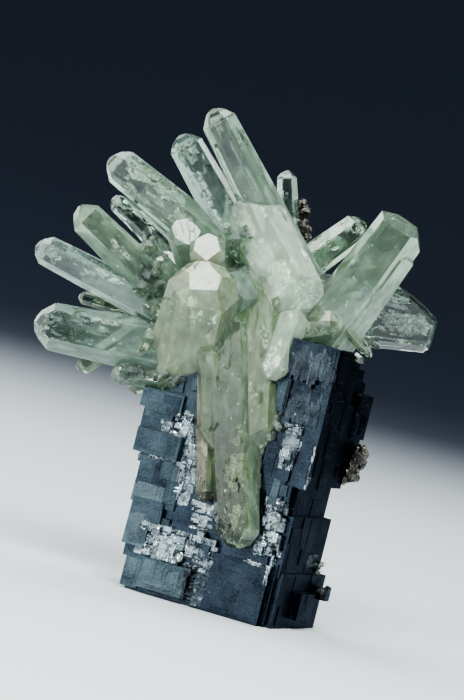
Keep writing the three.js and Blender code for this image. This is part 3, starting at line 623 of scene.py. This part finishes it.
# Stretches that are crumbled into dark grains, and the cap with its upright scratches
CRUMBLED = [
    ("front", (-3, 1.4), (0.9, 7), (0.7, 0.7), 20), ("front", (-10, 0), (0.9, 1.7), (0.7, 0.5), 20),
    ("front", (7.2, 16.6), (49.6, 55.6), (0.5, 2.4), 5), ("front", (8.4, 15.6), (40.8, 49), (0.6, 1.6), 4),
    ("right", (1.5, 4.5), (12.5, 15), (0.7, 0.6), 20), ("right", (8.6, 10.6), (6.6, 9.6), (0.7, 0.6), 20),
]
# Stretches with loose thin plates: the side, across, up, and how many
STREWN = [
    ("back", (-16, 14), (0.3, 48), 170),
    ("left", (-12, 12), (0.3, 42), 140),
    ("front", (-20, 17), (0.3, 56), 60),
]
# Loose plates on the right side, which take its painted shade
STREWN_SHADED = [("right", (-13, 12), (0.3, 55), 150)]
# The left part of the block is duller than the rest, up to here
DULL_TO = -3.2 * MM
# Faces turned further right than this take the right side's painted shade
FACES_RIGHT = 0.7
# Millimetres: how deep a slab is, how proud a step stands and how far above the foot it stays, the sizes of
# a strewn plate, and how far the corners under it may differ in depth
SLAB_DEPTH = 1.0
STEP_PROUD = (0.02, 0.2)
STEP_CLEAR = 0.2
STREWN_WIDTH = (1.0, 5.0)
STREWN_HEIGHT = (1.5, 9.0)
STREWN_PROUD = (0.03, 0.16)
STREWN_FLAT = 0.1
# A plate has layers, each shorter and prouder than the one under it
PLATE_LAYERS = 3
LAYER_SHORTER = 0.22
LAYER_PROUD = (0.4, 0.3)
PLATE_LEAST = 0.6
# How far a step strays from its row, as shares of its size, and how its size varies
STEP_STRAY = (-0.4, 0.4)
STEP_VARIES = (0.8, 2.2)
# Places on a side are on the same face when their depths differ by less than this, and are tried this far
# apart
SAME_FACE = 0.9 * MM
RUN_STEP = 0.2
# How many slabs there are to choose from, and how many corners of each are broken off and how deep
CHIP_KINDS = 8
CHIP_CORNERS = 3
CHIP_CUT = 0.2
SLAB_CUT = 0.05
# Rays at a side start this far out, in millimetres, and count where the side faces them
FAR_OUT = 60
FACES_RAY = 0.9


def cleavage_chip(name, seed, deepest):
    """A slab 1 by 1 by 1 with its outer face towards -Y and some corners broken off, at most so deep."""
    rng = random.Random(seed)
    chip = start_piece(name, bpy.ops.mesh.primitive_cube_add, size=1)
    for _ in range(CHIP_CORNERS):
        left, up = rng.choice((-0.5, 0.5)), rng.choice((-0.5, 0.5))
        slant = (left * rng.uniform(0.4, 2), -rng.uniform(0.1, 0.7), up * rng.uniform(0.4, 2))
        normal = Vector(slant).normalized()
        cut_off(Vector((left, -0.5, up)) - normal * rng.uniform(0.1, 1) * deepest, normal)
    stop_editing()
    return chip


def side_hit(trees, side, across, up):
    """Where a side of the block is, at a place across and up it, unless a crystal covers it. trees are those
    of the block and of the crystals."""
    block, crystals = trees
    facing, right = SIDES[side]
    runs = right * (1 if sum(right) > 0 else -1)
    start = (facing * FAR_OUT + runs * across + Vector((0, 0, up))) * MM
    hit, normal, _, distance = block.ray_cast(start, -facing)
    if hit is None or normal.dot(facing) < FACES_RAY:
        return None
    cover = crystals.ray_cast(start, -facing)[3]
    if cover is not None and cover < distance:
        return None
    return hit


def slab_matrix(side, hit, wide, tall, proud, lean_up, lean_side):
    """Stands a slab on a side of the block: lean_up and lean_side are its lean in degrees."""
    facing, right = SIDES[side]
    tip = Matrix.Rotation(math.radians(lean_up), 4, right)
    tip = tip @ Matrix.Rotation(math.radians(lean_side), 4, "Z")
    stand = Matrix((right, -facing, Vector((0, 0, 1)))).transposed().to_4x4()
    place = Matrix.Translation(hit + facing * (proud - SLAB_DEPTH / 2) * MM)
    return place @ tip @ stand @ Matrix.Diagonal((wide * MM, SLAB_DEPTH * MM, tall * MM, 1))


def copies_joined(name, places):
    """One mesh of many copies: places holds the piece to copy, its matrix, and what its faces store."""
    copies = []
    for original, matrix, values in places:
        mesh = original.data.copy()
        mesh.transform(matrix)
        if values:
            face_values(mesh, [values] * len(mesh.polygons))
        copies.append(add_object(name, mesh))
    return joined(name, copies)


def finish(piece, material):
    """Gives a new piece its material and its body."""
    piece.data.materials.clear()
    piece.data.materials.append(material)
    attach(piece, "root")


def kept_run(trees, side, across, up, low, high, along_up):
    """The part of a line from low to high, round its middle, that lies on the same face of the block."""
    middle = (low + high) / 2
    start = side_hit(trees, side, across, up)
    ends = []
    for way, end in ((-1, low), (1, high)):
        reach = middle
        while (end - reach) * way > 0:
            place = (across, reach) if along_up else (reach, up)
            hit = side_hit(trees, side, *place)
            if hit is None or abs((hit - start).dot(SIDES[side][0])) > SAME_FACE:
                break
            reach += way * RUN_STEP
        ends.append(reach)
    return ends


def cleavage_plates(trees, chips, finish_name):
    """The plates of one finish, each cut off where its face of the block ends."""
    rng = random.Random(len(finish_name))
    places = []
    for left, right, low, high, proud, lean in PLATES[finish_name]:
        across, up = (left + right) / 2, (low + high) / 2
        if side_hit(trees, "front", across, up) is None:
            continue
        left, right = kept_run(trees, "front", across, up, left, right, False)
        low, high = kept_run(trees, "front", (left + right) / 2, up, low, high, True)
        for layer in range(PLATE_LAYERS):
            ends = [rng.uniform(0, LAYER_SHORTER) * layer for _ in range(4)]
            wide, tall = right - left, high - low
            start, end = left + wide * ends[0], right - wide * ends[1]
            foot, head = low + tall * ends[2], high - tall * ends[3]
            hit = side_hit(trees, "front", (start + end) / 2, (foot + head) / 2)
            size = (end - start, head - foot)
            if hit is not None and min(size) > PLATE_LEAST:
                stand = proud * (LAYER_PROUD[0] + LAYER_PROUD[1] * layer)
                matrix = slab_matrix("front", hit, *size, stand, lean, lean / 3)
                places.append((rng.choice(chips), matrix, None))
    return copies_joined(f"galena_{finish_name}_plates", places)


def strewn_plates(name, trees, chips, fields):
    """Thin plates strewn over the sides, where all four corners lie on the same face."""
    rng = random.Random(21)
    places = []
    for side, across_span, up_span, count in fields:
        facing = SIDES[side][0]
        for _ in range(count):
            wide = rng.uniform(*STREWN_WIDTH)
            tall = rng.uniform(*STREWN_HEIGHT)
            across = rng.uniform(*across_span)
            up = rng.uniform(*up_span)
            corners = [
                side_hit(trees, side, across + x * wide / 2, up + z * tall / 2)
                for x in (-1, 1) for z in (-1, 1)
            ]
            proud = rng.uniform(*STREWN_PROUD)
            lean = rng.gauss(0, 0.6)
            chip = rng.choice(chips)
            if any(corner is None for corner in corners):
                continue
            depths = [corner.dot(facing) / MM for corner in corners]
            if max(depths) - min(depths) < STREWN_FLAT:
                middle = sum(corners, Vector()) / 4
                places.append((chip, slab_matrix(side, middle, wide, tall, proud, lean, -lean), None))
    return copies_joined(name, places)


def broken_steps(name, trees, chips, fields):
    """Close rows of small steps, each tipped its own way."""
    rng = random.Random(len(fields))
    places = []
    for side, across_span, up_span, (wide, tall), lean in fields:
        rows = max(round((up_span[1] - up_span[0]) / tall), 1)
        columns = max(round((across_span[1] - across_span[0]) / wide), 1)
        for row in range(rows):
            for column in range(columns):
                across = across_span[0] + (column + 0.5 + rng.uniform(*STEP_STRAY)) * wide
                up = up_span[0] + (row + 0.5 + rng.uniform(*STEP_STRAY)) * tall
                hit = side_hit(trees, side, across, up)
                size = (wide * rng.uniform(*STEP_VARIES), tall * rng.uniform(*STEP_VARIES))
                proud = rng.uniform(*STEP_PROUD)
                leans = (rng.gauss(0, lean / 2), rng.gauss(0, lean / 2))
                chip = rng.choice(chips)
                if hit is not None and up - size[1] / 2 > STEP_CLEAR:
                    places.append((chip, slab_matrix(side, hit, *size, proud, *leans), None))
    return copies_joined(name, places)


# Veils: the width of a cell of the sheet, how far its corners stray, how thick it is, how deep inside the
# crystal it stays, the length and the width of its flecks, and where its edge starts to fray
VEIL_CELL = 0.34
VEIL_STRAY = 0.12
VEIL_THICK = 0.015 * MM
VEIL_INSIDE = 0.25 * MM
VEIL_FLECK = (1.7, 0.7)
VEIL_FRAY = 0.55
# A veil has two layers, at these shares of the half thickness towards the light. They stray by the next
# numbers and tilt by the last ones, about its length, its width and its middle.
VEIL_LAYERS = (0.4, -0.15)
VEIL_STRAYS = (-0.1, 0.1)
VEIL_TILT = (0.12, 0.08, 0.12)
TOWARDS_KEY = way(0, 0.35, 1).normalized()


def veil_places(crystal, rng):
    """Two layers for each veil of a crystal: the sheet's matrix, its length and width, how whole it is."""
    root, span = root_and_span(crystal)
    axis = span.normalized()
    toward = (TOWARDS_KEY - axis * TOWARDS_KEY.dot(axis)).normalized()
    side = axis.cross(toward)
    if side.dot(UP) < 0:
        side = -side
    half, deep = (measure / 2 * MM for measure in crystal.size)
    usual = (0.7, 0, 0.25 * span.length / MM, 0.45 * crystal.size[0], 0.5)
    for share, aside, length, width, whole in crystal.veils or [usual]:
        for layer in VEIL_LAYERS:
            middle = root + span * share + side * aside * half
            middle += toward * (layer + rng.uniform(*VEIL_STRAYS)) * deep
            turn = Matrix((axis, side, axis.cross(side))).transposed()
            tilt = Euler([rng.gauss(0, spread) for spread in VEIL_TILT]).to_matrix()
            yield Matrix.LocRotScale(middle, turn @ tilt, None), (length, width), whole


def torn_sheet(matrix, size, whole, start):
    """A flat sheet of square cells, with each cell that isn't part of the ragged veil marked as torn."""
    cells = [max(round(side / VEIL_CELL), 3) for side in size]
    deselect()
    bpy.ops.mesh.primitive_grid_add(x_subdivisions=cells[0], y_subdivisions=cells[1], size=1)
    sheet = bpy.context.object
    torn = []
    for polygon in sheet.data.polygons:
        x, y, _ = polygon.center
        place = Vector((x * size[0] / VEIL_FLECK[0], y * size[1] / VEIL_FLECK[1], start))
        fray = max(math.hypot(x, y) * 2 - VEIL_FRAY, 0)
        torn.append(noise.noise(place) * 0.9 + 0.5 + fray > whole)
    sheet.data.attributes.new("torn", "BOOLEAN", "FACE").data.foreach_set("value", torn)
    sheet.data.transform(matrix @ Matrix.Diagonal((size[0] * MM, size[1] * MM, 1, 1)))
    return sheet


def veil_sheets(name, crystals, solid, seed):
    """The cracks inside some crystals: crumpled, ragged sheets, each well inside the solid."""
    rng = random.Random(seed)
    sheets = []
    for crystal in crystals:
        for matrix, size, whole in veil_places(crystal, rng):
            sheets.append(torn_sheet(matrix, size, whole, rng.uniform(0, 100)))
    piece = joined(name, sheets)
    edit_all()
    bpy.ops.transform.vertex_random(offset=VEIL_STRAY * MM, seed=seed)
    bpy.ops.mesh.select_all(action="DESELECT")
    stop_editing()
    tree = tree_of(solid)
    torn = piece.data.attributes["torn"]
    for polygon, is_torn in zip(piece.data.polygons, torn.data):
        near, normal, _, _ = tree.find_nearest(polygon.center)
        outside = (polygon.center - near).dot(normal) > -VEIL_INSIDE
        polygon.select = is_torn.value or outside
    piece.data.attributes.remove(torn)
    bpy.ops.object.mode_set(mode="EDIT")
    bpy.ops.mesh.delete(type="FACE")
    stop_editing()
    thicken = piece.modifiers.new("thickness", "SOLIDIFY")
    thicken.thickness = VEIL_THICK
    bpy.ops.object.modifier_apply(modifier=thicken.name)
    return piece


PRISM = {"vertices": 6, "radius": 0.5, "depth": 1.3, "location": (0, 0, 0.35)}
# The cuts at its tip: three that meet in a point, then two steeper shoulders. For each kind the slope in
# degrees, how far out the cut is, and how far its turn strays.
POINT_SLOPE = (38, 52)
POINT_REACH = (0.85, 1)
SHOULDER_SLOPE = (12, 24)
SHOULDER_REACH = (0.5, 0.6)
SHOULDER_UP = 0.7
TURN_STRAYS = (-12, 12)


def cut_prism(name, seed):
    """A six-sided prism 1 wide, from its foot at the origin to near z 1, cut to a three-sided point."""
    rng = random.Random(seed)
    prism = start_piece(name, bpy.ops.mesh.primitive_cylinder_add, **PRISM)
    start = rng.uniform(0, 120)
    for k in range(5):
        at_point = k < 3
        turn = math.radians(start + 120 * k + rng.uniform(*TURN_STRAYS))
        slope = math.radians(rng.uniform(*(POINT_SLOPE if at_point else SHOULDER_SLOPE)))
        x, y, z = math.cos(turn) * math.cos(slope), math.sin(turn) * math.cos(slope), math.sin(slope)
        reach = rng.uniform(*(POINT_REACH if at_point else SHOULDER_REACH))
        cut_off((0, 0, reach) if at_point else (x * reach, y * reach, SHOULDER_UP), (x, y, z))
    stop_editing()
    bpy.ops.object.transform_apply(location=True, rotation=True, scale=True)
    return prism


# Where little crystals crowd, as seen: across from and to, up from and to, how many, how wide, and which
# way they lean, across and up
CROWDS = [
    ((-16, -9), (60, 75), 26, (0.9, 2.2), (-0.5, 0.5)),
    ((1.5, 5), (66, 76), 12, (0.8, 1.8), (0.1, 0.5)),
    ((-20, -7), (44.6, 48), 14, (0.9, 2.0), (-0.9, -0.2)),
    ((9, 14), (30, 37), 4, (0.7, 1.5), (0.3, -0.4)),
    ((27, 31), (50, 56), 6, (0.9, 1.8), (0.5, -0.4)),
    ((18.6, 20), (6.5, 11), 6, (0.5, 1.0), (0.5, 0.3)),
    ((19.6, 20.8), (2.6, 4.6), 4, (0.5, 1.0), (0.5, 0.3)),
]
YOUNG_MILK = (0.3, 0.04)
YOUNG_TINT = "#aebfb3"
YOUNG_FLAWS = 0.36
YOUNG_KINDS = 5
# How long they are for their width, how far their directions spread, and how far they lean to the viewer's
# side and out from what they stand on
YOUNG_LENGTH = (1.2, 2.2)
YOUNG_SPREAD = 0.3
YOUNG_FORWARDS = 0.5
YOUNG_OUTWARDS = 0.7
ANY_TURN = (0, 6.3)


def young_crystals(trees, prisms):
    """Crowds of little prisms on the big ones, seeded, each standing on the surface that it meets."""
    rng = random.Random(8)
    places = []
    for across_span, up_span, count, widths, (lean_across, lean_up) in CROWDS:
        for _ in range(count):
            start = seen(rng.uniform(*across_span), rng.uniform(*up_span), FAR_OUT)
            hits = [tree.ray_cast(start, -OUT) for tree in trees]
            hits = [hit for hit in hits if hit[0] is not None]
            spread = Vector([rng.gauss(0, YOUNG_SPREAD) for _ in range(3)])
            width = rng.uniform(*widths)
            length = width * rng.uniform(*YOUNG_LENGTH)
            spin = Matrix.Rotation(rng.uniform(*ANY_TURN), 3, "Z")
            prism = rng.choice(prisms)
            if not hits:
                continue
            foot, normal, _, _ = min(hits, key=lambda hit: hit[3])
            lean = way(lean_across, lean_up, YOUNG_FORWARDS)
            axis = (lean + spread + normal * YOUNG_OUTWARDS).normalized()
            turn = axis.to_track_quat("Z", "Y").to_matrix() @ spin
            matrix = Matrix.LocRotScale(foot, turn, Vector((width, width, length)) * MM)
            look = (length * MM, *YOUNG_MILK)
            values = (foot, axis, look, (0, 0, 0), linear(YOUNG_TINT), YOUNG_FLAWS)
            places.append((prism, matrix, values))
    return copies_joined("young_calcite_crystals", places)


WORN_EDGE = 0.1


def cut_grain(name, add, **settings):
    """A metal grain about 1 wide, with worn edges."""
    grain = start_piece(name, add, **settings)
    bpy.ops.mesh.bevel(offset=WORN_EDGE, segments=1, affect="EDGES")
    stop_editing()
    return grain


KNOT_GRAINS = 110
GRAIN_SIZE = (0.4, 1.2)
# A grain's middle stays this share of its size inside the knot's box
GRAIN_INSIDE = 0.55


def knot(node, name, grains, material, seed):
    """A small knot of metal: its core with grains grown all over it."""
    rng = random.Random(seed)
    core = solid_copy(node, name)
    low, high = (Vector(corner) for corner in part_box(node))
    areas = [polygon.area for polygon in core.data.polygons]
    places = []
    for polygon in rng.choices(core.data.polygons, weights=areas, k=KNOT_GRAINS):
        corners = [core.data.vertices[v].co for v in polygon.vertices]
        weights = [rng.random() for _ in corners]
        point = sum((c * w for c, w in zip(corners, weights)), Vector()) / sum(weights)
        size = rng.uniform(*GRAIN_SIZE) * MM
        half = size * GRAIN_INSIDE
        point = Vector([min(max(p, lo + half), hi - half) for p, lo, hi in zip(point, low, high)])
        turn = Euler([rng.uniform(*ANY_TURN) for _ in range(3)])
        matrix = Matrix.LocRotScale(point, turn, Vector((size, size, size)))
        places.append((rng.choice(grains), matrix, None))
    coat = copies_joined(f"{name}_grains", places)
    for piece in (core, coat):
        finish(piece, material)
    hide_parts(node)


calcite_look = calcite_material()
# Galena by how each stretch of it broke, and one copy darkened as painted shade: its dark and light
# colours, roughness, width of a step and slope
smooth = galena_material("galena_smooth_cleavage", "#20262e", "#475260", 0.22, 3.4 * MM, 0.012)
# A near-black copy of the galena for the right side: painted shade
shaded = galena_material("galena_painted_shade_side", "#040609", "#0d121b", 0.26, 2.6 * MM, 0.02)
dull = galena_material("galena_dull_cleavage", "#28313a", "#56656f", 0.34, 2.6 * MM, 0.03)
worn = galena_material("galena_worn_cleavage", "#323d46", "#6c7b84", 0.36, 2.0 * MM, 0.04)
bright = galena_material("galena_fresh_cleavage", "#2a343b", "#bfcad1", 0.24, 0.9 * MM, 0.3, 0.8)
crumbled = galena_material("galena_crumbled_grains", "#1b2026", "#5c666f", 0.34, 0.5 * MM, 0.2)
metal = galena_material("sulphide_tarnished_grains", "#181817", "#85827b", 0.26, 0.4 * MM, 0.14)

calcite = solid_copy("calcite_spray", "calcite_crystals")
galena = solid_copy("galena_block", "galena_cubes")
meet(calcite, galena)
mark_crystals(calcite)
finish(calcite, calcite_look)
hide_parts("calcite_spray")
finish(galena, smooth)
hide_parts("galena_block")
galena.data.materials.append(shaded)
galena.data.materials.append(dull)
# Faces that turn right take the near-black painted shade, and the left part takes the dull finish
for polygon in galena.data.polygons:
    if polygon.normal.x > FACES_RIGHT and polygon.center.x > DULL_TO:
        polygon.material_index = 1
    elif polygon.center.x < DULL_TO:
        polygon.material_index = 2

trees = (tree_of(galena), tree_of(calcite))
chips = [cleavage_chip(f"chip_{k}", k, CHIP_CUT) for k in range(CHIP_KINDS)]
slabs = [cleavage_chip(f"slab_{k}", k, SLAB_CUT) for k in range(CHIP_KINDS)]
for name, material in (("smooth", smooth), ("dull", dull), ("worn", worn)):
    finish(cleavage_plates(trees, slabs, name), material)
for name, make, pieces, fields, material in (
    ("galena_strewn_plates", strewn_plates, slabs, STREWN, smooth),
    # The right side's plates take the near-black painted shade
    ("galena_side_plates", strewn_plates, slabs, STREWN_SHADED, shaded),
    ("galena_bright_steps", broken_steps, chips, FOIL, bright),
    ("galena_dark_grains", broken_steps, chips, CRUMBLED, crumbled),
):
    finish(make(name, trees, pieces, fields), material)
remove(chips + slabs)

silver = [crystal for crystal in CRYSTALS if not crystal.gold]
golden = [crystal for crystal in CRYSTALS if crystal.gold]
for name, crystals, dim, pale, seed in (
    ("silvery_veils", silver, "#8f9a98", "#eef2ea", 5),
    ("golden_veils", golden, "#9c9a7c", "#e9e8c4", 6),
):
    look = veil_material(f"calcite_{name}", dim, pale)
    finish(veil_sheets(name, crystals, calcite, seed), look)

prisms = [cut_prism(f"prism_{k}", k) for k in range(YOUNG_KINDS)]
finish(young_crystals(trees, prisms), calcite_look)
remove(prisms)

EIGHT_SIDED = {"segments": 4, "ring_count": 2, "radius": 0.62}
grains = [
    cut_grain("cube_grain", bpy.ops.mesh.primitive_cube_add, size=0.8),
    cut_grain("eight_sided_grain", bpy.ops.mesh.primitive_uv_sphere_add, **EIGHT_SIDED),
]
knot("sulphide_knot_side", "side_knot", grains, metal, 3)
knot("sulphide_knot_top", "top_knot", grains, metal, 4)
remove(grains)


# The studio: a pale floor that rises all round into a far wall with no edge, and soft lights. Its measures
# are in metres.
FLOOR_FLAT = 1.0
FLOOR_BEND = 1.0
WALL_TOP = 2.6
BEND_STEPS = 12
PALE_TO = 0.25
DARK_FROM = 1.15


def studio_floor():
    circle = {"vertices": 96, "radius": FLOOR_FLAT, "fill_type": "NGON"}
    floor = start_piece("studio_floor", bpy.ops.mesh.primitive_circle_add, **circle)
    bpy.ops.mesh.select_mode(type="EDGE")
    bpy.ops.mesh.region_to_loop()
    reach, height = FLOOR_FLAT, 0
    for i in range(BEND_STEPS):
        turn = math.radians(90) * (i + 1) / BEND_STEPS
        new_reach = FLOOR_FLAT + FLOOR_BEND * math.sin(turn)
        new_height = FLOOR_BEND * (1 - math.cos(turn))
        bpy.ops.mesh.extrude_edges_move(TRANSFORM_OT_translate={"value": (0, 0, new_height - height)})
        wider = new_reach / reach
        bpy.ops.transform.resize(value=(wider, wider, 1), center_override=(0, 0, 0))
        reach, height = new_reach, new_height
    bpy.ops.mesh.extrude_edges_move(TRANSFORM_OT_translate={"value": (0, 0, WALL_TOP - height)})
    bpy.ops.mesh.select_all(action="SELECT")
    bpy.ops.mesh.normals_make_consistent(inside=True)
    stop_editing()
    bpy.ops.object.shade_smooth()
    # Matt paint, pale round the specimen and darker further off, so that clear crystal has dark behind it: a
    # painted pool of light, with painted shade further off
    m, place = new_material("studio_floor_painted_light_pool")
    far = add_node(m, VECTOR, (place,), "LENGTH").outputs["Value"]
    spread = {"Value": far, "From Min": PALE_TO, "From Max": DARK_FROM}
    share = add_node(m, "ShaderNodeMapRange", spread, interpolation_type="SMOOTHSTEP")
    colour = add_node(m, RAMP, {"Fac": share}, stops=[(0.0, "#cdd1d8"), (1.0, "#474f63")])
    add_node(m, OUTPUT, {"Surface": add_node(m, PRINCIPLED, {"Base Color": colour, "Roughness": 0.9})})
    floor.data.materials.append(m)


CENTRE = seen(2.4, 51.6, 0)
SOFTBOX_COLOUR = "#f5fbf5"


def softbox(name, direction, distance, size, power):
    """A soft light towards the middle of the specimen, from a direction as seen from the show side."""
    towards = way(*Vector(direction).normalized())
    data = bpy.data.lights.new(name, "AREA")
    data.shape = "RECTANGLE"
    data.size, data.size_y = size
    data.energy = power
    data.color = linear(SOFTBOX_COLOUR)[:3]
    light = add_object(name, data)
    light.location = CENTRE + towards * distance
    light.rotation_euler = towards.to_track_quat("Z", "Y").to_euler()
    light.visible_camera = False


LENS = 200
SENSOR = 36
PICTURE_HEIGHT = 140 * MM


def camera():
    data = bpy.data.cameras.new("show_side")
    data.lens = LENS
    data.sensor_width = SENSOR
    data.clip_start, data.clip_end = 0.01, 50
    cam = add_object("show_side", data)
    distance = PICTURE_HEIGHT * LENS / SENSOR
    turn = Matrix((ACROSS, UP, OUT)).transposed()
    cam.matrix_world = Matrix.Translation(CENTRE + OUT * distance) @ turn.to_4x4()
    bpy.context.scene.camera = cam


studio_floor()
# Each softbox: its direction as seen, its distance and its size in metres, and its power in watts
for lamp in (
    ("key", (0.15, 0.68, 0.71), 0.65, (0.54, 0.27), 8.4),
    ("fill_left", (-0.9, 0.3, 0.4), 0.8, (0.8, 0.8), 5.3),
    ("back_right", (0.75, 0.45, -0.6), 0.8, (0.6, 0.8), 3.8),
    ("back_left", (-0.6, 0.5, -0.75), 0.8, (0.6, 0.8), 3.5),
    ("top", (-0.1, 1.0, -0.25), 0.8, (0.5, 0.5), 5),
):
    softbox(*lamp)
camera()

world = bpy.data.worlds.new("studio")
bpy.context.scene.world = world
world.use_nodes = True
background = world.node_tree.nodes["Background"].inputs
background["Color"].default_value = linear("#8d98b4")
background["Strength"].default_value = 0.3
bpy.context.scene.view_settings.view_transform = "AgX"
bpy.context.scene.view_settings.look = "AgX - Medium High Contrast"
bpy.context.scene.cycles.transmission_bounces = 20
bpy.context.scene.cycles.max_bounces = 24
